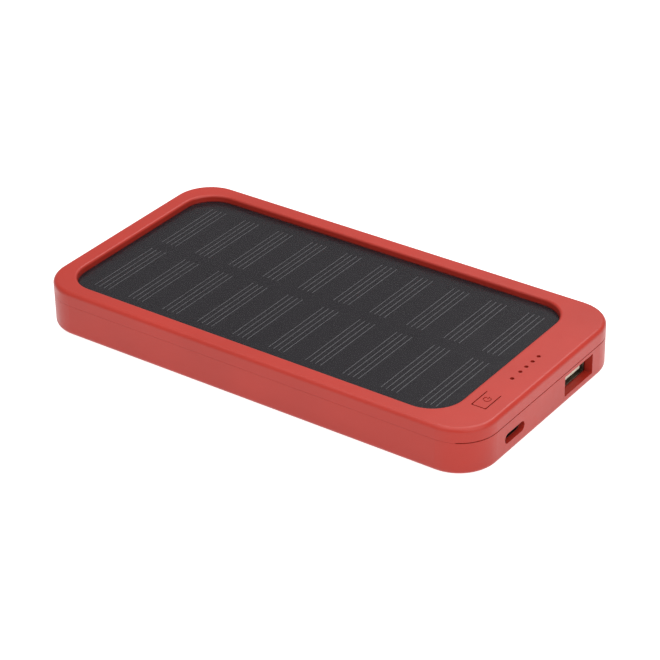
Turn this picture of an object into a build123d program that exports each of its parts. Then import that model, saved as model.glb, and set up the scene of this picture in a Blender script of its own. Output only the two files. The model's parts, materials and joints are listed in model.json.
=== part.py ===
from build123d import *

import math
import os

# Solar phone charger: a flat two-part plastic case with a glued-in solar panel, a flat lithium cell,
# a circuit board with one wide outlet socket and one small inlet socket, five status lights and a
# push button cut out of the cover.
# Millimetres. The origin is the centre of the underside, +Z is up, +X is the end with the sockets.
# Each node is written to parts/NODE.step.

# ---------------------------------------------------------------- driving dimensions: case
LENGTH, WIDTH, HEIGHT = 138.0, 72.0, 13.3
CORNER_R = 11.0  # upright corners, seen from above
TOP_EDGE_R = 1.2
BOTTOM_EDGE_R = 1.4
WALL = 1.8
FLOOR = 1.6
FLOOR_CORNER_R = 0.6
PARTING_Z = 9.3  # where the two case halves meet
SEAM_GAP = 0.04  # between the halves elsewhere, where they nearly touch
END_SEAM_GAP, END_SEAM_X = 0.25, 63.2  # the wider line round the socket end
LIP = 0.8  # tongue of the lower half that stands inside the upper one
LIP_DROP = 1.0
LIP_RISE = 0.9
LIP_CLEARANCE = 0.1
END_X = LENGTH / 2
SIDE_Y = WIDTH / 2
INNER_X = END_X - WALL
INNER_Y = SIDE_Y - WALL
BEYOND = 1.0  # how far a cutting tool runs past what it cuts

# ---------------------------------------------------------------- solar window and panel tray
WINDOW_X0, WINDOW_X1 = -63.7, 57.2
WINDOW_Y = 31.0  # half width
WINDOW_R = 8.9
WINDOW_EDGE_R = 0.7
PANEL_DEPTH = 1.65  # from the rim down to the panel's face
RIM_PLATE = 1.6
TRAY_WALL = 1.55
TRAY_FLOOR = 1.2
PANEL_CLEARANCE = 0.15
TAPE = 0.15
TAPE_BAND = 5.0
BACKING = 1.0
CELL_LAYER = 0.25
FRONT_SHEET = 0.25
BOND_LINE = 0.02  # between the filler's face and the front sheet
PANEL_TOP_Z = HEIGHT - PANEL_DEPTH
CELL_TOP_Z = PANEL_TOP_Z - FRONT_SHEET
BACKING_TOP_Z = CELL_TOP_Z - CELL_LAYER
BACKING_Z = BACKING_TOP_Z - BACKING
TRAY_TOP_Z = BACKING_Z - TAPE
TRAY_Z = TRAY_TOP_Z - TRAY_FLOOR
RIM_Z = HEIGHT - RIM_PLATE

CELL_COLUMNS = 10
CELL_PITCH = 11.59
CELL_SIZE = (10.6, 26.8, 0.15)
CELL_ROW_GAP = 1.8
CELL_POCKET = 0.1  # filler's clearance round each cell
FIRST_CELL_X = -54.6
WIRE_HOLE_X = 41.0
WIRE_HOLE_SIZE = (8.0, 9.0, HEIGHT)
WIRE_HOLE_R = 1.0

# ---------------------------------------------------------------- snap hooks of the upper half
HOOK_W, HOOK_T = 7.0, 0.9
HOOK_DROP = 5.4  # below the parting line
HOOK_BARB, HOOK_BARB_H, HOOK_LEAD_IN = 0.45, 1.2, 0.5
HOOK_CLEARANCE = 0.12
LONG_SIDE_HOOK_X = (-44.0, -14.0, 16.0, 38.0)
END_HOOK_Y = (-16.0, 16.0)

# ---------------------------------------------------------------- button and status lights
BUTTON_X0, BUTTON_X1 = 60.45, 64.15
BUTTON_FREE_Y, BUTTON_HINGE_Y = -22.75, -15.8
BUTTON_X = (BUTTON_X0 + BUTTON_X1) / 2
BUTTON_SLOT = 0.3
BUTTON_CORNER_R = 0.35
HINGE_T = 0.5  # what is left of the plate at the bending line
HINGE_GROOVE = 1.0
HINGE_RELIEF_DEG = 4.5  # more than the button turns, so its root stays clear of the cover
STEM_R, STEM_Y = 1.0, -20.3
STEM_GAP = 0.07
MARK_Y = -18.95
MARK_R, MARK_LINE, MARK_DEPTH = 1.1, 0.3, 0.25
MARK_OPENING, MARK_BAR = 0.95, 1.1
LIGHT_X = 62.3
LIGHT_Y = (5.4, 2.45, -0.55, -3.45, -7.3)
LIGHT_HOLE_R = 0.56
GUIDE_PIN_CLEARANCE, GUIDE_PIN_RISE = 0.06, 0.6
GUIDE_HALF_W, GUIDE_T, GUIDE_END, GUIDE_FOOT_R = 1.3, 1.2, 1.2, 0.6
GUIDE_OVER_BOARD = 0.75

# ---------------------------------------------------------------- sockets
OUTLET_Y, OUTLET_Z = 14.4, 5.35
OUTLET_CUTOUT = (13.9, 5.8)
OUTLET_CUTOUT_R = 0.25
OUTLET_W, OUTLET_H, OUTLET_DEEP = 13.1, 5.7, 14.0
OUTLET_R = 0.6
OUTLET_RECESS = 2.35
OUTLET_COLLAR = 1.2
OUTLET_BLOCK = 3.4  # moulded rear block that carries the tongue
OUTLET_TONGUE_W, OUTLET_TONGUE_H, OUTLET_TONGUE_Z = 11.1, 1.84, 3.7
OUTLET_TONGUE_RECESS = 0.65
OUTLET_CONTACT_W, OUTLET_CONTACT_T, OUTLET_CONTACT_BACK = 1.0, 0.18, 1.0
OUTLET_CONTACT_Y = (-3.5, -1.0, 1.0, 3.5)
SPRING_WINDOW = (3.0, 9.0, 2.6)  # from the mouth: start, end, and width
SPRING_W, SPRING_GAP = 1.8, 0.2
LEG_AT = (4.0, 11.0)  # behind the mouth
LEG_W, LEG_OUT = 2.2, 1.4
INLET_Y, INLET_Z = -16.6, 4.8
INLET_CUTOUT = (9.15, 2.85)
INLET_W, INLET_H, INLET_DEEP = 8.94, 3.2, 7.3
INLET_RECESS = 1.5
INLET_NEST = 0.4  # clearance round the small socket in the case wall
INLET_BLOCK = 1.8
INLET_TONGUE_W, INLET_TONGUE_H, INLET_TONGUE_LEN = 6.7, 0.7, 4.6
INLET_CONTACTS, INLET_CONTACT_PITCH = 12, 0.5
INLET_CONTACT_W, INLET_CONTACT_T, INLET_CONTACT_BACK = 0.24, 0.05, 0.8
SHEET = 0.3  # metal of both shells
MOULDING_FIT = 0.05  # plastic block inside its shell

# ---------------------------------------------------------------- circuit board
BOARD_X0, BOARD_X1, BOARD_Y, BOARD_R = 45.0, 66.2, 32.2, 7.5
BOARD_Z = INLET_Z + INLET_H / 2  # the small socket hangs under the board
BOARD_T = 1.0
BOARD_TOP_Z = BOARD_Z + BOARD_T
BOARD_NOTCH_GAP = 0.15
BOSS_R, REST_R = 2.5, 1.5
SCREW_AT = ((49.5, 27.5), (49.5, -27.5))
REST_AT = ((62.2, -3.0), (62.2, -27.0))
SCREW_R, SCREW_LEN = 0.9, 4.3
SCREW_HEAD_R, SCREW_HEAD_T, SCREW_HEAD_EDGE_R = 1.7, 1.0, 0.5
CROSS_LEN, CROSS_W, CROSS_DEEP = 2.0, 0.45, 0.6
PILOT_R, PILOT_LEN = 0.95, 4.6
SCREW_HOLE_R = 1.15
COIL_AT, COIL_SIZE, COIL_R = (48.5, -8.0), (7.0, 7.0, 3.8), 1.4
COIL_GROOVE = (2.4, 1.5, 0.5)  # outer radius, inner radius, depth
CHIP_SIZE, CHIP_LIFT = (4.9, 3.9, 1.5), 0.1
CHARGER_AT, CONTROLLER_AT = (57.5, -4.5), (49.5, -17.5)
PINS_PER_SIDE, PIN_PITCH, PIN_SIZE = 4, 1.27, (0.4, 1.0, 0.25)
DIODE_AT, DIODE_SIZE = (54.2, 2.55), (4.4, 2.7, 2.1)
CAPACITOR_SIZE = (2.0, 1.24, 1.2)
CAPACITORS_AT = ((54.5, -9.5), (57.5, -9.5), (54.5, -12.0), (48.0, 1.5), (48.0, 3.6), (58.5, 1.6))
RESISTOR_SIZE = (1.6, 0.8, 0.45)
RESISTORS_AT = ((55.0, -8.0), (55.0, -10.0), (55.0, -12.0), (55.0, -22.0), (57.3, 2.5), (57.3, 4.5))
LED_SIZE = (1.6, 0.8, 0.6)
SWITCH_SIZE, SWITCH_LID = (3.5, 6.0, 2.1), 0.25
PLUNGER_R, PLUNGER_RISE, PLUNGER_TRAVEL = 0.9, 0.7, 0.25
PLUNGER_SINK = 0.9  # how far the plunger reaches down into the switch
PLUNGER_FLANGE, PLUNGER_FLANGE_T = 0.35, 0.5
PLUNGER_CLEARANCE, FLANGE_CLEARANCE = 0.08, 0.15

# ---------------------------------------------------------------- battery and leads
BATTERY_SIZE = (90.0, 60.0, 6.0)
BATTERY_X0 = -61.5
BATTERY_X1 = BATTERY_X0 + BATTERY_SIZE[0]
BATTERY_R, BATTERY_EDGE_R = 3.0, 1.6
PAD_T = 0.4
PAD_INSET = 8.0
PAD_HALF_W = 20.0
BATTERY_Z = FLOOR + PAD_T
BATTERY_TOP_Z = BATTERY_Z + BATTERY_SIZE[2]
FOAM_INSET = 14.0
FOAM_HALF_W = 14.0
SOFT_CORNER_R = 2.0
RIB_GAP, RIB_T, RIB_RUN, RIB_RISE = 0.3, 1.0, 7.0, 3.2
PROTECTION_SIZE = (3.6, 40.0, 0.8)
PROTECTION_X0 = BATTERY_X1 + 0.8
PROTECTION_Z = 4.2
PROTECTION_TOP_Z = PROTECTION_Z + PROTECTION_SIZE[2]
PROTECTION_CHIP = (2.5, 3.0, 0.9)
TAB_Y, TAB_W, TAB_T, TAB_ON_BOARD = 12.0, 5.0, 0.12, 2.0
TAPE_COVER = (2.7, 10.0, 0.07)
LEAD_R, LEAD_BEND = 0.65, 1.6
LEAD_Y = (9.0, 5.5)
LEAD_PAD_X = BOARD_X0 + 2.6
PANEL_LEAD_R, PANEL_LEAD_BENDS = 0.45, (1.6, 0.5)
PANEL_LEAD_Y = (2.0, -2.0)
PANEL_LEAD_PAD_X = BOARD_X0 + 3.4
PANEL_LEAD_RUN_Z = BOARD_TOP_Z + 0.58


# ---------------------------------------------------------------- plain shapes
def block(x0, x1, y0, y1, z0, z1, r=0.0):
    """A box between two corners, with upright edges of radius r."""
    size_x, size_y = x1 - x0, y1 - y0
    outline = RectangleRounded(size_x, size_y, r) if r else Rectangle(size_x, size_y)
    return Pos((x0 + x1) / 2, (y0 + y1) / 2, z0) * extrude(outline, z1 - z0)


def box_on(x, y, z, size, r=0.0):
    """A box of that size that stands on height z, centred on x and y."""
    half_x, half_y = size[0] / 2, size[1] / 2
    return block(x - half_x, x + half_x, y - half_y, y + half_y, z, z + size[2], r)


def box_under(x, y, z, size, r=0.0):
    """The same, hanging from height z."""
    return box_on(x, y, z - size[2], size, r)


def rod(x, y, z0, z1, radius):
    """An upright round rod."""
    return Pos(x, y, z0) * extrude(Circle(radius), z1 - z0)


def bar_along_x(width, height, x0, x1, y, z, r):
    """A bar along X, centred on y and z, whose section is a rounded rectangle."""
    section = RectangleRounded(width, height, r)
    return Plane(origin=(x0, y, z), x_dir=(0, 1, 0), z_dir=(1, 0, 0)) * extrude(section, x1 - x0)


def stadium_along_x(width, height, x0, x1, y, z):
    """The same with fully round ends."""
    nearly_half = height / 2 - 0.01
    return bar_along_x(width, height, x0, x1, y, z, nearly_half)


def case_prism(inset, z0, z1):
    """The case outline taken in by inset, between two heights."""
    x, y = END_X - inset, SIDE_Y - inset
    return block(-x, x, -y, y, z0, z1, CORNER_R - inset)


def window_prism(grow, z0, z1):
    """The solar window grown by grow, between two heights."""
    y = WINDOW_Y + grow
    return block(WINDOW_X0 - grow, WINDOW_X1 + grow, -y, y, z0, z1, WINDOW_R + grow)


def round_edges(shape, which, radius):
    """Rounds the edges of a shape's top face (which = -1) or bottom face (which = 0)."""
    return fillet(shape.faces().sort_by(Axis.Z)[which].edges(), radius)


def outer_body():
    """The closed case from outside."""
    body = round_edges(case_prism(0, 0, HEIGHT), -1, TOP_EDGE_R)
    return round_edges(body, 0, BOTTOM_EDGE_R)


# ---------------------------------------------------------------- snap hooks
def hook_places():
    """Each hook's middle on the inner wall, with the turn that points its local +X outwards."""
    places = [(x, side * INNER_Y, side * 90) for x in LONG_SIDE_HOOK_X for side in (1, -1)]
    return places + [(-INNER_X, y, 180) for y in END_HOOK_Y]


def hook(clearance):
    """One hook in its own frame, where the inner wall is x = 0. A clearance makes its pocket instead."""
    root_z = RIM_Z + 0.01
    foot_z = PARTING_Z - HOOK_DROP
    back_x = -HOOK_T - HOOK_CLEARANCE - clearance
    front_x = -HOOK_CLEARANCE
    barb_x = HOOK_BARB - HOOK_CLEARANCE + clearance
    profile = Polyline(
        (back_x, foot_z - clearance),
        (front_x, foot_z - clearance),
        (barb_x, foot_z + HOOK_LEAD_IN - clearance),
        (barb_x, foot_z + HOOK_BARB_H + clearance),
        (front_x, foot_z + HOOK_BARB_H + clearance),
        (front_x, root_z),
        (back_x, root_z),
        close=True,
    )
    side_view = Plane(origin=(0, 0, 0), x_dir=(1, 0, 0), z_dir=(0, -1, 0)) * make_face(profile)
    return extrude(side_view, HOOK_W / 2 + clearance, both=True)


def placed_hooks(clearance):
    return [Pos(x, y, 0) * Rot(0, 0, turn) * hook(clearance) for x, y, turn in hook_places()]


# ---------------------------------------------------------------- lower case half
def battery_ribs():
    """An L of two ribs at each corner of the battery."""
    half = BATTERY_SIZE[1] / 2 + RIB_GAP
    top = FLOOR + RIB_RISE
    ribs = []
    for y_side in (1, -1):
        y_across = sorted((y_side * half, y_side * (half + RIB_T)))
        y_along = sorted((y_side * (half - RIB_RUN), y_side * (half + RIB_T)))
        for corner_x, away in ((BATTERY_X0 - RIB_GAP, -1), (BATTERY_X1 + RIB_GAP, 1)):
            x_along = sorted((corner_x + away * RIB_T, corner_x - away * RIB_RUN))
            x_across = sorted((corner_x, corner_x + away * RIB_T))
            ribs.append(block(*x_along, *y_across, FLOOR, top))
            ribs.append(block(*x_across, *y_along, FLOOR, top))
    return ribs


def outlet_collar():
    """Thicker wall round the wide socket's opening."""
    half_w = OUTLET_CUTOUT[0] / 2 + OUTLET_COLLAR
    top = OUTLET_Z + OUTLET_CUTOUT[1] / 2 + OUTLET_COLLAR
    into_wall, into_floor = 0.05, 0.1
    x0, x1 = END_X - OUTLET_RECESS, INNER_X + into_wall
    return block(x0, x1, OUTLET_Y - half_w, OUTLET_Y + half_w, FLOOR - into_floor, top)


def end_seam():
    """What the wider line round the socket end takes from the rims of the two halves."""
    ring = case_prism(0, PARTING_Z - END_SEAM_GAP / 2, PARTING_Z + END_SEAM_GAP / 2)
    ring -= case_prism(WALL - LIP, 0, HEIGHT)
    return ring - block(-LENGTH, END_SEAM_X, -WIDTH, WIDTH, 0, HEIGHT)


def bottom_case():
    case = outer_body() & case_prism(0, 0, PARTING_Z - SEAM_GAP / 2)
    case += case_prism(WALL - LIP, PARTING_Z - LIP_DROP, PARTING_Z + LIP_RISE)
    case -= round_edges(case_prism(WALL, FLOOR, HEIGHT), 0, FLOOR_CORNER_R)
    case += outlet_collar()
    for rib in battery_ribs():
        case += rib
    for x, y in SCREW_AT:
        case += rod(x, y, FLOOR, BOARD_Z, BOSS_R)
        case -= rod(x, y, BOARD_Z - PILOT_LEN, HEIGHT, PILOT_R)
    for x, y in REST_AT:
        case += rod(x, y, FLOOR, BOARD_Z, REST_R)
    wall_x, outside_x = INNER_X - BEYOND, END_X + BEYOND
    case -= bar_along_x(*OUTLET_CUTOUT, wall_x, outside_x, OUTLET_Y, OUTLET_Z, OUTLET_CUTOUT_R)
    case -= stadium_along_x(*INLET_CUTOUT, wall_x, outside_x, INLET_Y, INLET_Z)
    nest_w, nest_h = INLET_W + 2 * INLET_NEST, INLET_H + 2 * INLET_NEST
    case -= stadium_along_x(nest_w, nest_h, wall_x, END_X - INLET_RECESS, INLET_Y, INLET_Z)
    for pocket in placed_hooks(HOOK_CLEARANCE):
        case -= pocket
    return case - end_seam()


# ---------------------------------------------------------------- upper case half and its button
def window_rim(cover):
    """The top edge of the solar window, which is everything up there that stays inside its width."""
    rim = []
    for edge in cover.edges().group_by(Axis.Z)[-1]:
        bounds = edge.bounding_box()
        if max(-bounds.min.Y, bounds.max.Y) < WINDOW_Y + WINDOW_EDGE_R:
            rim.append(edge)
    return rim


def button_opening():
    """The U-shaped slot with the button inside it, and the groove under the bending line."""
    x0, x1 = BUTTON_X0 - BUTTON_SLOT, BUTTON_X1 + BUTTON_SLOT
    below = RIM_Z - BEYOND
    opening = block(x0, x1, BUTTON_FREE_Y - BUTTON_SLOT, BUTTON_HINGE_Y, below, HEIGHT + BEYOND)
    groove_end = BUTTON_HINGE_Y + HINGE_GROOVE / 2
    return opening + block(x0, x1, BUTTON_FREE_Y, groove_end, below, HEIGHT - HINGE_T)


def panel_tray():
    """The plate the solar panel lies on, bonded under the walls of the window."""
    tray = window_prism(TRAY_WALL, TRAY_Z, TRAY_TOP_Z)
    return tray - box_on(WIRE_HOLE_X, 0, 0, WIRE_HOLE_SIZE, WIRE_HOLE_R)


def top_cover():
    """A frame round the window, with a wall round the panel's edge and hooks for the lower half."""
    cover = outer_body() & case_prism(0, PARTING_Z + SEAM_GAP / 2, HEIGHT)
    cover -= case_prism(WALL - LIP - LIP_CLEARANCE, 0, RIM_Z)
    cover += window_prism(TRAY_WALL, TRAY_TOP_Z, RIM_Z)
    for one in placed_hooks(0):
        cover += one
    cover -= window_prism(0, 0, HEIGHT + BEYOND)
    cover = fillet(window_rim(cover), WINDOW_EDGE_R)
    for y in LIGHT_Y:
        cover -= rod(LIGHT_X, y, RIM_Z - BEYOND, HEIGHT + BEYOND, LIGHT_HOLE_R)
    return cover - button_opening() - end_seam()


def hinge_relief():
    """The wedge taken off the button's root, whose tip is the bending line."""
    slope = math.tan(math.radians(HINGE_RELIEF_DEG)) * RIM_PLATE
    section = Polyline(
        (BUTTON_HINGE_Y, HEIGHT),
        (BUTTON_HINGE_Y - slope, RIM_Z),
        (BUTTON_HINGE_Y + BEYOND, RIM_Z),
        (BUTTON_HINGE_Y + BEYOND, HEIGHT),
        close=True,
    )
    length = BUTTON_X1 - BUTTON_X0 + 2 * BEYOND
    return Pos(BUTTON_X0 - BEYOND, 0, 0) * extrude(Plane.YZ * make_face(section), length)


def power_mark():
    """A shallow generic on/off mark: a ring open at one side, with a short bar in the opening."""
    ring = Circle(MARK_R) - Circle(MARK_R - MARK_LINE)
    ring -= Pos(0, MARK_R) * Rectangle(MARK_OPENING, 2 * MARK_BAR)
    bar = Pos(0, MARK_R - MARK_BAR / 3) * Rectangle(MARK_LINE, MARK_BAR)
    return Pos(BUTTON_X, MARK_Y, HEIGHT - MARK_DEPTH) * extrude(ring + bar, BEYOND)


def power_button():
    """The tongue cut free of the cover on three sides, which bends at its fourth side."""
    tab = block(BUTTON_X0, BUTTON_X1, BUTTON_FREE_Y, BUTTON_HINGE_Y, RIM_Z, HEIGHT)
    tab = fillet(tab.edges().filter_by(Axis.Z).sort_by(Axis.Y)[:2], BUTTON_CORNER_R)
    groove_y0, groove_y1 = BUTTON_HINGE_Y - HINGE_GROOVE, BUTTON_HINGE_Y + BEYOND
    tab -= block(
        BUTTON_X0 - BEYOND, BUTTON_X1 + BEYOND, groove_y0, groove_y1, RIM_Z - BEYOND, HEIGHT - HINGE_T
    )
    tab -= hinge_relief()
    stem_z = BOARD_TOP_Z + SWITCH_SIZE[2] + PLUNGER_RISE + STEM_GAP
    into_tab = 0.1
    tab += rod(BUTTON_X, STEM_Y, stem_z, RIM_Z + into_tab, STEM_R)
    return tab - power_mark()


# ---------------------------------------------------------------- solar panel
def panel_layer(z0, z1):
    return window_prism(-PANEL_CLEARANCE, z0, z1)


def cell_places():
    row_y = (CELL_SIZE[1] + CELL_ROW_GAP) / 2
    return [(FIRST_CELL_X + k * CELL_PITCH, y) for k in range(CELL_COLUMNS) for y in (row_y, -row_y)]


def solar_panel():
    """The panel's layers, from the tape at the bottom to the clear sheet on top."""
    filler = panel_layer(BACKING_TOP_Z, CELL_TOP_Z - BOND_LINE)
    pocket = (CELL_SIZE[0] + 2 * CELL_POCKET, CELL_SIZE[1] + 2 * CELL_POCKET, CELL_SIZE[2])
    for x, y in cell_places():
        filler -= box_on(x, y, BACKING_TOP_Z, pocket)
    cells = [box_on(x, y, BACKING_TOP_Z, CELL_SIZE) for x, y in cell_places()]
    tape_hole = window_prism(-PANEL_CLEARANCE - TAPE_BAND, TRAY_TOP_Z, BACKING_Z)
    return {
        "panel_tape": panel_layer(TRAY_TOP_Z, BACKING_Z) - tape_hole,
        "panel_backing_board": panel_layer(BACKING_Z, BACKING_TOP_Z),
        "panel_encapsulant": filler,
        "solar_cells": Compound(children=cells),
        "panel_front_sheet": panel_layer(CELL_TOP_Z, PANEL_TOP_Z),
    }


# ---------------------------------------------------------------- battery
def battery_pouch():
    half_w = BATTERY_SIZE[1] / 2
    pouch = block(BATTERY_X0, BATTERY_X1, -half_w, half_w, BATTERY_Z, BATTERY_TOP_Z, BATTERY_R)
    return round_edges(round_edges(pouch, -1, BATTERY_EDGE_R), 0, BATTERY_EDGE_R)


def battery_softs():
    """The adhesive pad under the cell and the foam between it and the tray."""
    pad_x = (BATTERY_X0 + PAD_INSET, BATTERY_X1 - PAD_INSET)
    foam_x = (BATTERY_X0 + FOAM_INSET, BATTERY_X1 - FOAM_INSET)
    return {
        "battery_pad": block(*pad_x, -PAD_HALF_W, PAD_HALF_W, FLOOR, BATTERY_Z, SOFT_CORNER_R),
        "battery_foam": block(*foam_x, -FOAM_HALF_W, FOAM_HALF_W, BATTERY_TOP_Z, TRAY_Z, SOFT_CORNER_R),
    }


def battery_terminals():
    """The tabs out of the pouch, the small board they are welded to, its chip and the tape on top."""
    middle_x = PROTECTION_X0 + PROTECTION_SIZE[0] / 2
    tab_end_x = PROTECTION_X0 + TAB_ON_BOARD
    tabs, tapes = [], []
    for y in (TAB_Y, -TAB_Y):
        tab = block(
            BATTERY_X1, tab_end_x, y - TAB_W / 2, y + TAB_W / 2, PROTECTION_TOP_Z, PROTECTION_TOP_Z + TAB_T
        )
        tabs.append(tab)
        tapes.append(box_on(tab_end_x - TAPE_COVER[0] / 2, y, PROTECTION_TOP_Z + TAB_T, TAPE_COVER))
    return {
        "cell_tabs": Compound(children=tabs),
        "protection_board": box_on(middle_x, 0, PROTECTION_Z, PROTECTION_SIZE),
        "protection_chip": box_on(middle_x, 0, PROTECTION_TOP_Z, PROTECTION_CHIP),
        "terminal_tape": Compound(children=tapes),
    }


# ---------------------------------------------------------------- leads
def lead(points, bends, radius):
    """An insulated wire along straight runs joined by arcs."""
    path = FilletPolyline(*points, radius=list(bends))
    start = Plane(origin=path @ 0, z_dir=path % 0)
    return sweep(start * Circle(radius), path=path)


def battery_leads():
    """From the protection board's edge up to the main board's underside."""
    x0 = PROTECTION_X0 + PROTECTION_SIZE[0]
    z = PROTECTION_Z + PROTECTION_SIZE[2] / 2
    made = {}
    for name, y in zip(("battery_lead_positive", "battery_lead_negative"), LEAD_Y):
        points = [(x0, y, z), (LEAD_PAD_X, y, z), (LEAD_PAD_X, y, BOARD_Z)]
        made[name] = lead(points, [LEAD_BEND], LEAD_R)
    return made


def panel_leads():
    """From the panel's back, through the tray's hole, to the top of the main board."""
    made = {}
    for name, y in zip(("panel_lead_positive", "panel_lead_negative"), PANEL_LEAD_Y):
        points = [
            (WIRE_HOLE_X, y, BACKING_Z),
            (WIRE_HOLE_X, y, PANEL_LEAD_RUN_Z),
            (PANEL_LEAD_PAD_X, y, PANEL_LEAD_RUN_Z),
            (PANEL_LEAD_PAD_X, y, BOARD_TOP_Z),
        ]
        made[name] = lead(points, PANEL_LEAD_BENDS, PANEL_LEAD_R)
    return made


# ---------------------------------------------------------------- wide outlet socket
def outlet_shell(face_x, back_x):
    """Folded steel tube with one spring finger below and four solder legs on the board."""
    tube = bar_along_x(OUTLET_W, OUTLET_H, back_x, face_x, OUTLET_Y, OUTLET_Z, OUTLET_R)
    hollow_w, hollow_h = OUTLET_W - 2 * SHEET, OUTLET_H - 2 * SHEET
    hollow = bar_along_x(
        hollow_w, hollow_h, back_x + SHEET, face_x + BEYOND, OUTLET_Y, OUTLET_Z, OUTLET_R - SHEET
    )
    tube -= hollow
    start, end, width = SPRING_WINDOW
    bottom = OUTLET_Z - OUTLET_H / 2
    window = (end - start, width, SHEET + BEYOND)
    tube -= box_on(face_x - (start + end) / 2, OUTLET_Y, bottom - BEYOND, window)
    finger_x0, finger_x1 = face_x - end - SPRING_GAP, face_x - start - SPRING_GAP
    tube += block(
        finger_x0, finger_x1, OUTLET_Y - SPRING_W / 2, OUTLET_Y + SPRING_W / 2, bottom, bottom + SHEET
    )
    leg_root, leg_end = OUTLET_W / 2 - SHEET / 2, OUTLET_W / 2 + LEG_OUT
    for side in (1, -1):
        leg_y = sorted((OUTLET_Y + side * leg_root, OUTLET_Y + side * leg_end))
        for behind in LEG_AT:
            leg_x = face_x - behind
            tube += block(leg_x - LEG_W / 2, leg_x + LEG_W / 2, *leg_y, BOARD_TOP_Z, BOARD_TOP_Z + SHEET)
    return tube


def outlet_socket():
    face_x = END_X - OUTLET_RECESS
    back_x = face_x - OUTLET_DEEP
    block_x0, block_x1 = back_x + SHEET, back_x + SHEET + OUTLET_BLOCK
    play = 2 * (SHEET + MOULDING_FIT)
    tongue = bar_along_x(
        OUTLET_W - play, OUTLET_H - play, block_x0, block_x1, OUTLET_Y, OUTLET_Z, OUTLET_R - SHEET
    )
    tip_x = face_x - OUTLET_TONGUE_RECESS
    half_w = OUTLET_TONGUE_W / 2
    contact_z = OUTLET_TONGUE_Z + OUTLET_TONGUE_H
    tongue += block(block_x0, tip_x, OUTLET_Y - half_w, OUTLET_Y + half_w, OUTLET_TONGUE_Z, contact_z)
    contact_size = (tip_x - OUTLET_CONTACT_BACK - block_x1, OUTLET_CONTACT_W, OUTLET_CONTACT_T)
    contact_x = block_x1 + contact_size[0] / 2
    contacts = [box_on(contact_x, OUTLET_Y + y, contact_z, contact_size) for y in OUTLET_CONTACT_Y]
    return {
        "outlet_shell": outlet_shell(face_x, back_x),
        "outlet_tongue": tongue,
        "outlet_contacts": Compound(children=contacts),
    }


# ---------------------------------------------------------------- small inlet socket
def inlet_socket():
    face_x = END_X - INLET_RECESS
    back_x = face_x - INLET_DEEP
    shell = stadium_along_x(INLET_W, INLET_H, back_x, face_x, INLET_Y, INLET_Z)
    hollow_w, hollow_h = INLET_W - 2 * SHEET, INLET_H - 2 * SHEET
    shell -= stadium_along_x(hollow_w, hollow_h, back_x + SHEET, face_x + BEYOND, INLET_Y, INLET_Z)
    block_x0, block_x1 = back_x + SHEET, back_x + SHEET + INLET_BLOCK
    fit = 2 * MOULDING_FIT
    tongue = stadium_along_x(hollow_w - fit, hollow_h - fit, block_x0, block_x1, INLET_Y, INLET_Z)
    tip_x = block_x1 + INLET_TONGUE_LEN
    tip_r = INLET_TONGUE_H / 2 - 0.05
    tongue += bar_along_x(INLET_TONGUE_W, INLET_TONGUE_H, block_x0, tip_x, INLET_Y, INLET_Z, tip_r)
    contact_size = (INLET_TONGUE_LEN - INLET_CONTACT_BACK, INLET_CONTACT_W, INLET_CONTACT_T)
    contact_x = block_x1 + contact_size[0] / 2
    contacts = []
    for k in range(INLET_CONTACTS):
        y = INLET_Y + (k - (INLET_CONTACTS - 1) / 2) * INLET_CONTACT_PITCH
        contacts.append(box_on(contact_x, y, INLET_Z + INLET_TONGUE_H / 2, contact_size))
        contacts.append(box_under(contact_x, y, INLET_Z - INLET_TONGUE_H / 2, contact_size))
    return {
        "inlet_shell": shell,
        "inlet_tongue": tongue,
        "inlet_contacts": Compound(children=contacts),
    }


# ---------------------------------------------------------------- circuit board and what is on it
def main_board():
    board = block(BOARD_X0, BOARD_X1, -BOARD_Y, BOARD_Y, BOARD_Z, BOARD_TOP_Z)
    board = fillet(board.edges().filter_by(Axis.Z).sort_by(Axis.X)[-2:], BOARD_R)
    half_w = OUTLET_W / 2 + BOARD_NOTCH_GAP
    notch_x = END_X - OUTLET_RECESS - OUTLET_DEEP - BOARD_NOTCH_GAP
    board -= block(notch_x, END_X, OUTLET_Y - half_w, OUTLET_Y + half_w, 0, HEIGHT)
    for x, y in SCREW_AT:
        board -= rod(x, y, 0, HEIGHT, SCREW_HOLE_R)
    return board


def power_inductor():
    coil = box_under(*COIL_AT, BOARD_Z, COIL_SIZE, COIL_R)
    outer_r, inner_r, depth = COIL_GROOVE
    foot = BOARD_Z - COIL_SIZE[2]
    return coil - (rod(*COIL_AT, foot, foot + depth, outer_r) - rod(*COIL_AT, foot, foot + depth, inner_r))


def chip_pins(x, y):
    """Pins out of both long sides of a chip that hangs under the board."""
    out = (CHIP_SIZE[1] + PIN_SIZE[1]) / 2
    pins = []
    for k in range(PINS_PER_SIDE):
        pin_x = x + (k - (PINS_PER_SIDE - 1) / 2) * PIN_PITCH
        pins += [box_under(pin_x, y + side * out, BOARD_Z, PIN_SIZE) for side in (1, -1)]
    return pins


def light_guide():
    """A clear bar under the cover, with a pin up into each hole and a foot down to each light."""
    y0, y1 = min(LIGHT_Y) - GUIDE_END, max(LIGHT_Y) + GUIDE_END
    x0, x1 = LIGHT_X - GUIDE_HALF_W, LIGHT_X + GUIDE_HALF_W
    pin_r = LIGHT_HOLE_R - GUIDE_PIN_CLEARANCE
    guide = block(x0, x1, y0, y1, RIM_Z - GUIDE_T, RIM_Z, GUIDE_FOOT_R)
    for y in LIGHT_Y:
        guide += rod(LIGHT_X, y, RIM_Z - GUIDE_T, RIM_Z + GUIDE_PIN_RISE, pin_r)
        guide += rod(LIGHT_X, y, BOARD_TOP_Z + GUIDE_OVER_BOARD, RIM_Z, GUIDE_FOOT_R)
    return guide


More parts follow.
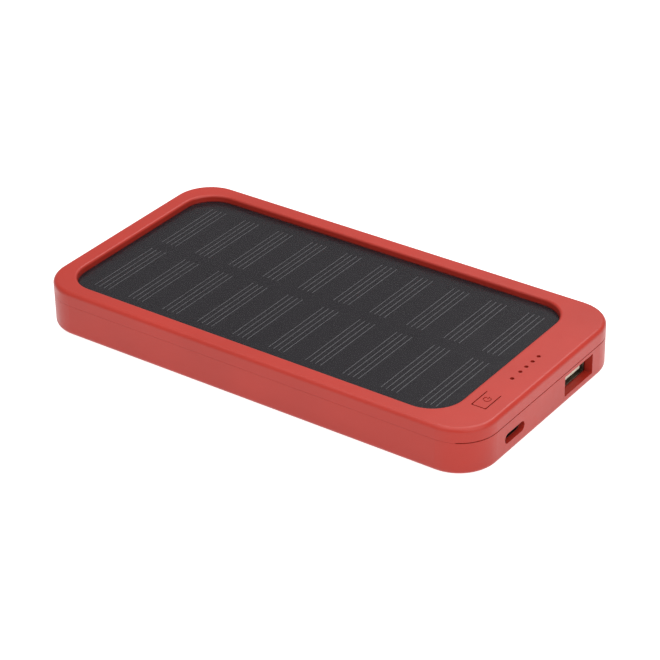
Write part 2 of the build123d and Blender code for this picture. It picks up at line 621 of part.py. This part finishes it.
def push_switch():
    """Body, sheet metal lid and the plunger that the button's stem pushes."""
    top = BOARD_TOP_Z + SWITCH_SIZE[2]
    lid_z = top - SWITCH_LID
    plunger_z = top - PLUNGER_SINK
    flange_r = PLUNGER_R + PLUNGER_FLANGE
    body = box_on(BUTTON_X, STEM_Y, BOARD_TOP_Z, (*SWITCH_SIZE[:2], SWITCH_SIZE[2] - SWITCH_LID))
    well_z = plunger_z - PLUNGER_TRAVEL - PLUNGER_CLEARANCE
    body -= rod(BUTTON_X, STEM_Y, well_z, top, flange_r + FLANGE_CLEARANCE)
    lid = box_on(BUTTON_X, STEM_Y, lid_z, (*SWITCH_SIZE[:2], SWITCH_LID))
    lid -= rod(BUTTON_X, STEM_Y, lid_z, top, PLUNGER_R + PLUNGER_CLEARANCE)
    plunger = rod(BUTTON_X, STEM_Y, plunger_z, top + PLUNGER_RISE, PLUNGER_R)
    plunger += rod(BUTTON_X, STEM_Y, plunger_z, plunger_z + PLUNGER_FLANGE_T, flange_r)
    return {"switch_body": body, "switch_cover": lid, "switch_plunger": plunger}


def board_screw(x, y):
    head = rod(x, y, BOARD_TOP_Z, BOARD_TOP_Z + SCREW_HEAD_T, SCREW_HEAD_R)
    head = round_edges(head, -1, SCREW_HEAD_EDGE_R)
    cross = Rectangle(CROSS_LEN, CROSS_W) + Rectangle(CROSS_W, CROSS_LEN)
    recess = Pos(x, y, BOARD_TOP_Z + SCREW_HEAD_T - CROSS_DEEP) * extrude(cross, BEYOND)
    return head + rod(x, y, BOARD_TOP_Z - SCREW_LEN, BOARD_TOP_Z, SCREW_R) - recess


def board_parts():
    """Everything soldered or screwed to the board apart from the two sockets."""
    chip_z = BOARD_Z - CHIP_LIFT
    capacitors = [box_under(x, y, BOARD_Z, CAPACITOR_SIZE) for x, y in CAPACITORS_AT]
    resistors = [box_on(x, y, BOARD_TOP_Z, RESISTOR_SIZE) for x, y in RESISTORS_AT]
    leds = [box_on(LIGHT_X, y, BOARD_TOP_Z, LED_SIZE) for y in LIGHT_Y]
    return {
        "power_inductor": power_inductor(),
        "charger_chip": box_under(*CHARGER_AT, chip_z, CHIP_SIZE),
        "controller_chip": box_under(*CONTROLLER_AT, chip_z, CHIP_SIZE),
        "chip_pins": Compound(children=chip_pins(*CHARGER_AT) + chip_pins(*CONTROLLER_AT)),
        "blocking_diode": box_under(*DIODE_AT, BOARD_Z, DIODE_SIZE),
        "capacitors": Compound(children=capacitors),
        "resistors": Compound(children=resistors),
        "status_leds": Compound(children=leds),
        "board_screws": Compound(children=[board_screw(x, y) for x, y in SCREW_AT]),
    }


def all_nodes():
    nodes = {
        "bottom_case": bottom_case(),
        "top_cover": top_cover(),
        "panel_tray": panel_tray(),
        "power_button": power_button(),
        "battery_cell": battery_pouch(),
        "main_board": main_board(),
        "light_guide": light_guide(),
    }
    for group in (solar_panel, battery_softs, battery_terminals, battery_leads, panel_leads):
        nodes.update(group())
    for group in (outlet_socket, inlet_socket, board_parts, push_switch):
        nodes.update(group())
    return nodes


os.makedirs("parts", exist_ok=True)
for node, shape in all_nodes().items():
    export_step(shape, f"parts/{node}.step")
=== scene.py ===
import json
import math

import bpy
from mathutils import Matrix, Vector


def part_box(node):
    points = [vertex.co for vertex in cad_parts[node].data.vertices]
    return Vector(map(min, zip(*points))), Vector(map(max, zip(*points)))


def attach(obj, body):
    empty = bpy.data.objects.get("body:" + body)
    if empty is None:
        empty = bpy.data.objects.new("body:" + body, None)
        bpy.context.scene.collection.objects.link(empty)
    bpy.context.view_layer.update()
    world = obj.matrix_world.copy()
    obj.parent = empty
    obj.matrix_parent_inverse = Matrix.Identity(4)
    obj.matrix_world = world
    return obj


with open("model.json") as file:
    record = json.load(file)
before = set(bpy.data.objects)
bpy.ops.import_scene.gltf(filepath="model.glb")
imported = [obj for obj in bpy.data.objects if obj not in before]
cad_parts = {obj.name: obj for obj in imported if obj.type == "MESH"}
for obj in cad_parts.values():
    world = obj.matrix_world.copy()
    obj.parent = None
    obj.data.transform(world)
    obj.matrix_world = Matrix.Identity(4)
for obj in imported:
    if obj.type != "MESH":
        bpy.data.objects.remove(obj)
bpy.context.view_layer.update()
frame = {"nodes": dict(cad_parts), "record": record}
MM = 0.001

# ---------------------------------------------------------------- printed lines on the cells
FIRST_CELL_EDGE_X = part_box("solar_cells")[0].x
FILLER_FACE_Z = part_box("panel_encapsulant")[1].z
COLUMNS = 10
COLUMN_PITCH = 11.59 * MM
CELL_WIDTH = 10.6 * MM
LINES_PER_CELL = 4
LINE_PITCH = 1.56 * MM
LINE_WIDTH = 0.18 * MM
LINE_THICKNESS = 0.012 * MM
LINE_ROWS = ((2.5 * MM, 25.5 * MM), (-26.2 * MM, -1.8 * MM))  # the Y where each row starts and ends
LINE_LIFT = 0.002 * MM  # above the filler's face, so the two don't share a plane

# ---------------------------------------------------------------- camera, lamps and floor
VIEW_AZIMUTH = 35.89
VIEW_ELEVATION = 30.69
VIEW_ROLL = -1.12
VIEW_DISTANCE = 648.4 * MM
VIEW_TARGET = Vector((-2.06 * MM, 4.97 * MM, 0))
LENS = 132.08
CLIP_START = 10 * MM
WORLD_STRENGTH = 0.45
FLOOR_HALF = 6.0
FLOOR_GLOW = 0.9  # makes the floor read white

# ---------------------------------------------------------------- material building
# A Mix node set to colour has its factor, A, B and result at these places.
MIX_FACTOR, MIX_A, MIX_B = 0, 6, 7
MIX_RESULT = 2


class Look:
    """A Principled material with short helpers for its nodes. Coordinates are the frame's, in metres."""

    def __init__(self, name, **sockets):
        self.material = bpy.data.materials.new(name)
        self.material.use_nodes = True
        self.tree = self.material.node_tree
        self.shader = self.tree.nodes["Principled BSDF"]
        self.place = self.tree.nodes.new("ShaderNodeTexCoord").outputs["Object"]
        for socket, value in sockets.items():
            self.shader.inputs[socket.replace("_", " ")].default_value = value

    def node(self, kind, output, **inputs):
        """Adds a node, feeds its inputs and returns one output."""
        made = self.tree.nodes.new("ShaderNode" + kind)
        for name, value in inputs.items():
            self.feed(made.inputs[name.replace("_", " ")], value)
        return made.outputs[output]

    def feed(self, socket, value):
        """Links another node's output to the socket, or sets it to a plain value."""
        if isinstance(value, bpy.types.NodeSocket):
            self.tree.links.new(value, socket)
        else:
            socket.default_value = value

    def drive(self, socket, value):
        """Feeds one of the shader's own sockets."""
        self.feed(self.shader.inputs[socket], value)

    def stretched(self, scale):
        """The coordinates, scaled along each axis."""
        return self.node("Mapping", "Vector", Vector=self.place, Scale=scale)

    def noise(self, feature, detail=3.0, roughness=0.55, place=None):
        """Noise from 0 to 1 whose features are about that many metres across."""
        vector = self.place if place is None else place
        scale = 1 / feature
        return self.node("TexNoise", "Fac", Vector=vector, Scale=scale, Detail=detail, Roughness=roughness)

    def span(self, value, low, high, start=0.3, end=0.7):
        """Stretches the part of value between start and end over low to high."""
        return self.node(
            "MapRange", "Result", Value=value, From_Min=start, From_Max=end, To_Min=low, To_Max=high
        )

    def mix(self, factor, first, second):
        """A colour that goes from first to second as the factor goes from 0 to 1."""
        made = self.tree.nodes.new("ShaderNodeMix")
        made.data_type = "RGBA"
        self.feed(made.inputs[MIX_FACTOR], factor)
        self.feed(made.inputs[MIX_A], first)
        self.feed(made.inputs[MIX_B], second)
        return made.outputs[MIX_RESULT]

    def bump(self, height, depth, under=None):
        """Relief of that depth on the shader, on top of the relief under it if there is any."""
        made = self.tree.nodes.new("ShaderNodeBump")
        made.inputs["Distance"].default_value = depth
        self.feed(made.inputs["Height"], height)
        if under is not None:
            self.feed(made.inputs["Normal"], under)
        self.drive("Normal", made.outputs["Normal"])
        return made.outputs["Normal"]


def colour(red, green, blue):
    """An opaque colour."""
    return (red, green, blue, 1.0)


def shade(base, factor):
    """The colour made darker or lighter by that factor."""
    return colour(*(channel * factor for channel in base[:3]))


# ---------------------------------------------------------------- materials
def case_plastic():
    """Satin red ABS with a fine spark-eroded grain."""
    red = colour(0.37, 0.024, 0.014)
    look = Look("case_plastic", IOR=1.5, Specular_IOR_Level=0.33)
    flow = look.noise(22 * MM, detail=2.0)
    grain = look.noise(0.16 * MM, detail=2.0, roughness=0.7)
    tone = look.mix(look.span(flow, 0.0, 1.0), shade(red, 0.95), shade(red, 1.05))
    speck = look.span(look.noise(0.5 * MM, detail=1.0), 0.0, 0.1, start=0.55, end=0.8)
    look.drive("Base Color", look.mix(speck, tone, shade(red, 0.8)))
    look.drive("Roughness", look.span(look.noise(3 * MM, detail=4.0), 0.32, 0.40))
    broad = look.bump(look.noise(1.2 * MM, detail=2.0), 0.004 * MM)
    look.bump(grain, 0.006 * MM, under=broad)
    return look.material


def clear_sheet():
    """Satin smoke-tinted laminate that lets the lines under it show, with a slight orange peel."""
    look = Look("panel_laminate", IOR=1.5, Alpha=0.2, Specular_IOR_Level=0.35)
    dark, light = colour(0.013, 0.011, 0.014), colour(0.018, 0.015, 0.019)
    look.drive("Base Color", look.mix(look.noise(9 * MM), dark, light))
    look.drive("Roughness", look.span(look.noise(4 * MM, detail=2.0), 0.20, 0.24))
    look.bump(look.noise(4 * MM, detail=1.0), 0.0008 * MM)
    return look.material


def silicon():
    """Dark monocrystalline silicon, slightly uneven from cell to cell."""
    look = Look("cell_silicon", Roughness=0.4)
    base = colour(0.011, 0.010, 0.013)
    fine = look.noise(0.3 * MM, detail=3.0)
    tone = look.mix(look.noise(14 * MM), shade(base, 0.92), shade(base, 1.1))
    look.drive("Base Color", look.mix(look.span(fine, 0.0, 0.3), tone, shade(base, 1.2)))
    look.drive("Roughness", look.span(fine, 0.35, 0.5))
    look.bump(fine, 0.002 * MM)
    return look.material


def encapsulant():
    """Dark resin over the cells, as smooth as the sheet that lies on it."""
    base = colour(0.014, 0.012, 0.015)
    look = Look("panel_filler", Specular_IOR_Level=0.35)
    look.drive("Base Color", look.mix(look.noise(24 * MM), shade(base, 0.85), shade(base, 1.12)))
    look.drive("Roughness", look.span(look.noise(2 * MM), 0.20, 0.24))
    return look.material


def silver_print():
    """Fired silver paste, slightly uneven in tone and gloss."""
    look = Look("cell_print", Metallic=0.3)
    grain = look.noise(0.25 * MM, detail=3.0)
    dull, bright = colour(0.15, 0.15, 0.16), colour(0.23, 0.23, 0.24)
    look.drive("Base Color", look.mix(look.span(grain, 0.0, 1.0), dull, bright))
    look.drive("Roughness", look.span(grain, 0.45, 0.65))
    look.bump(grain, 0.004 * MM)
    return look.material


def moulded(name, base, grain=0.2 * MM, rough=(0.35, 0.5), depth=0.004 * MM, **sockets):
    """A moulded plastic, rubber or ceramic with grain of that size."""
    look = Look(name, **sockets)
    fine = look.noise(grain, detail=3.0)
    look.drive("Base Color", look.mix(look.noise(12 * grain), shade(base, 0.85), shade(base, 1.12)))
    look.drive("Roughness", look.span(fine, *rough))
    look.bump(fine, depth)
    return look.material


def brushed(name, base, along=(1.0, 1.0, 1.0), rough=(0.25, 0.42)):
    """A plated or rolled metal whose fine lines run along the axis with the small scale."""
    look = Look(name, Metallic=1.0)
    lines = look.noise(0.12 * MM, detail=3.0, place=look.stretched(along))
    stain = look.noise(2.5 * MM, detail=4.0)
    look.drive("Base Color", look.mix(look.span(stain, 0.0, 1.0), shade(base, 0.82), base))
    look.drive("Roughness", look.span(lines, *rough))
    look.bump(lines, 0.0015 * MM)
    return look.material


def solder_mask():
    """Green lacquer with the raised tracks of the copper under it."""
    look = Look("solder_mask", Roughness=0.3, Coat_Weight=0.3)
    tracks = look.node(
        "TexBrick",
        "Fac",
        Vector=look.stretched((1.0, 1.0, 0.0)),
        Scale=1 / (1.6 * MM),
        Mortar_Size=0.09,
        Bias=0.0,
        Brick_Width=1.7,
        Row_Height=0.6,
    )
    green = colour(0.010, 0.090, 0.035)
    look.drive("Base Color", look.mix(tracks, green, shade(green, 1.8)))
    look.bump(tracks, 0.02 * MM)
    return look.material


def light_pipe():
    """Smoked acrylic, which looks dark down in its holes until a light is on."""
    look = Look("guide_acrylic", IOR=1.49, Transmission_Weight=0.3)
    dark, light = colour(0.010, 0.008, 0.008), colour(0.03, 0.02, 0.02)
    look.drive("Base Color", look.mix(look.noise(1 * MM), dark, light))
    look.drive("Roughness", look.span(look.noise(0.4 * MM), 0.12, 0.3))
    look.bump(look.noise(0.3 * MM), 0.003 * MM)
    return look.material


def plastics():
    """The plain moulded materials, by the record's slot."""
    black = colour(0.012, 0.012, 0.013)
    grey = colour(0.12, 0.12, 0.12)
    amber = colour(0.50, 0.22, 0.02)
    matte, foam, film = (0.5, 0.7), (0.8, 0.95), (0.15, 0.25)
    wire, glaze = (0.35, 0.45), (0.3, 0.45)
    return {
        "panel_board": moulded("panel_board", black, grain=0.4 * MM),
        "foam_tape": moulded("foam_tape", black, grain=0.3 * MM, rough=foam, depth=0.03 * MM),
        "chip_black": moulded("chip_black", black, grain=0.1 * MM, rough=matte),
        "amber_film": moulded("amber_film", amber, grain=0.5 * MM, rough=film, Coat_Weight=0.5),
        "foam_grey": moulded("foam_grey", grey, grain=0.4 * MM, rough=(0.85, 1.0), depth=0.08 * MM),
        "wire_red": moulded("wire_red", colour(0.42, 0.015, 0.015), rough=wire),
        "wire_black": moulded("wire_black", black, rough=wire),
        "tongue_cream": moulded("tongue_cream", colour(0.76, 0.70, 0.57)),
        "tongue_black": moulded("tongue_black", black),
        "ferrite": moulded("ferrite", colour(0.05, 0.05, 0.055), rough=(0.6, 0.8), depth=0.02 * MM),
        "capacitor_tan": moulded("capacitor_tan", colour(0.36, 0.24, 0.13), rough=glaze),
        "resistor_black": moulded("resistor_black", black, rough=glaze),
        "led_white": moulded("led_white", colour(0.78, 0.74, 0.55), rough=(0.2, 0.35)),
    }


def metals():
    """The metals, by the record's slot."""
    rolled, drawn = (0.05, 1.0, 1.0), (0.06, 1.0, 1.0)
    return {
        "pouch_foil": brushed("pouch_foil", colour(0.62, 0.63, 0.65), along=rolled, rough=(0.3, 0.5)),
        "nickel": brushed("nickel", colour(0.62, 0.58, 0.52), along=rolled),
        "solder_tin": brushed("solder_tin", colour(0.70, 0.70, 0.71), rough=(0.15, 0.35)),
        # Socket shells: plated steel whose colour is made darker than plain steel, as painted shade for the
        # shaded inside of the sockets.
        "socket_steel": brushed("socket_steel", colour(0.30, 0.29, 0.25), along=drawn),
        "contact_gold": brushed("contact_gold", colour(0.90, 0.62, 0.24), along=drawn),
        "screw_steel": brushed("screw_steel", colour(0.35, 0.35, 0.36)),
    }


def materials_by_slot():
    return {
        "case_red": case_plastic(),
        "panel_clear": clear_sheet(),
        "solar_cell": silicon(),
        "panel_filler": encapsulant(),
        "board_green": solder_mask(),
        "guide_clear": light_pipe(),
        **plastics(),
        **metals(),
    }


def dress_nodes():
    """Gives every CAD node the material of its slot in the record."""
    looks = materials_by_slot()
    for part in frame["record"]["subparts"]:
        mesh = frame["nodes"][part["node"]].data
        mesh.materials.clear()
        mesh.materials.append(looks[part["material_slot"]])


# ---------------------------------------------------------------- printed lines
def ribbon(low, high):
    """The corners and faces of one strip, a thin block between two opposite corners."""
    corners = [Vector((x, y, z)) for z in (low.z, high.z) for y in (low.y, high.y) for x in (low.x, high.x)]
    faces = [(0, 2, 3, 1), (4, 5, 7, 6), (0, 1, 5, 4), (2, 6, 7, 3), (0, 4, 6, 2), (1, 3, 7, 5)]
    return corners, faces


def printed_lines():
    """Silver lines along Y on every cell of both rows, spaced evenly about the cell's middle."""
    z = FILLER_FACE_Z + LINE_LIFT
    first_x = FIRST_CELL_EDGE_X + CELL_WIDTH / 2
    middle_line = (LINES_PER_CELL - 1) / 2
    points, faces = [], []
    for column in range(COLUMNS):
        for line in range(LINES_PER_CELL):
            x = first_x + column * COLUMN_PITCH + (line - middle_line) * LINE_PITCH
            for y0, y1 in LINE_ROWS:
                low = Vector((x - LINE_WIDTH / 2, y0, z))
                high = Vector((x + LINE_WIDTH / 2, y1, z + LINE_THICKNESS))
                corners, sides = ribbon(low, high)
                faces += [tuple(len(points) + corner for corner in side) for side in sides]
                points += corners
    mesh = bpy.data.meshes.new("cell_lines")
    mesh.from_pydata(points, [], faces)
    mesh.materials.append(silver_print())
    lines = bpy.data.objects.new("cell_lines", mesh)
    bpy.context.scene.collection.objects.link(lines)
    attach(lines, "case")


# ---------------------------------------------------------------- camera, light and floor
def view_axes(azimuth, elevation):
    """Right, up and back of a camera or lamp that looks at the object from there."""
    a, e = math.radians(azimuth), math.radians(elevation)
    back = Vector((math.sin(a) * math.cos(e), -math.cos(a) * math.cos(e), math.sin(e)))
    right = Vector((math.cos(a), math.sin(a), 0))
    return right, back.cross(right), back


def placed(right, up, back, position):
    """The matrix of a camera or lamp with those axes at that position."""
    rows = [[right[i], up[i], back[i], position[i]] for i in range(3)]
    return Matrix(rows + [[0, 0, 0, 1]])


def place_camera():
    right, up, back = view_axes(VIEW_AZIMUTH, VIEW_ELEVATION)
    turn = Matrix.Rotation(math.radians(VIEW_ROLL), 3, back)
    camera = bpy.data.objects.new("camera", bpy.data.cameras.new("camera"))
    camera.data.lens = LENS
    camera.data.clip_start = CLIP_START
    camera.matrix_world = placed(turn @ right, turn @ up, back, VIEW_TARGET + back * VIEW_DISTANCE)
    bpy.context.scene.collection.objects.link(camera)
    bpy.context.scene.camera = camera


def soft_box(name, azimuth, elevation, distance, size, power):
    """A square lamp aimed at the object."""
    lamp = bpy.data.lights.new(name, "AREA")
    lamp.size = size
    lamp.energy = power
    right, up, back = view_axes(azimuth, elevation)
    made = bpy.data.objects.new(name, lamp)
    made.matrix_world = placed(right, up, back, back * distance)
    bpy.context.scene.collection.objects.link(made)


def studio():
    """An even white surrounding with four soft lamps, the strongest from above."""
    world = bpy.data.worlds.new("studio")
    world.use_nodes = True
    background = world.node_tree.nodes["Background"]
    background.inputs["Color"].default_value = colour(1, 1, 1)
    background.inputs["Strength"].default_value = WORLD_STRENGTH
    bpy.context.scene.world = world
    bpy.context.scene.view_settings.view_transform = "Standard"
    soft_box("top_light", azimuth=0, elevation=89, distance=1.0, size=1.2, power=9.5)
    soft_box("back_light", azimuth=192, elevation=50, distance=1.0, size=0.35, power=2.6)
    soft_box("side_light", azimuth=75, elevation=35, distance=1.1, size=0.8, power=4.5)
    soft_box("front_light", azimuth=-10, elevation=35, distance=1.1, size=0.8, power=1.5)


def floor():
    """A plain white floor that the charger lies on."""
    look = Look("floor_paper", Roughness=0.9, Emission_Color=colour(1, 1, 1), Emission_Strength=FLOOR_GLOW)
    dark, light = colour(0.38, 0.38, 0.38), colour(0.42, 0.42, 0.42)
    look.drive("Base Color", look.mix(look.noise(60 * MM), dark, light))
    corners = [(x * FLOOR_HALF, y * FLOOR_HALF, 0) for x, y in ((-1, -1), (1, -1), (1, 1), (-1, 1))]
    mesh = bpy.data.meshes.new("floor")
    mesh.from_pydata(corners, [], [(0, 1, 2, 3)])
    mesh.materials.append(look.material)
    made = bpy.data.objects.new("floor", mesh)
    bpy.context.scene.collection.objects.link(made)


# ---------------------------------------------------------------- the scene
place_camera()
studio()
floor()
dress_nodes()
printed_lines()
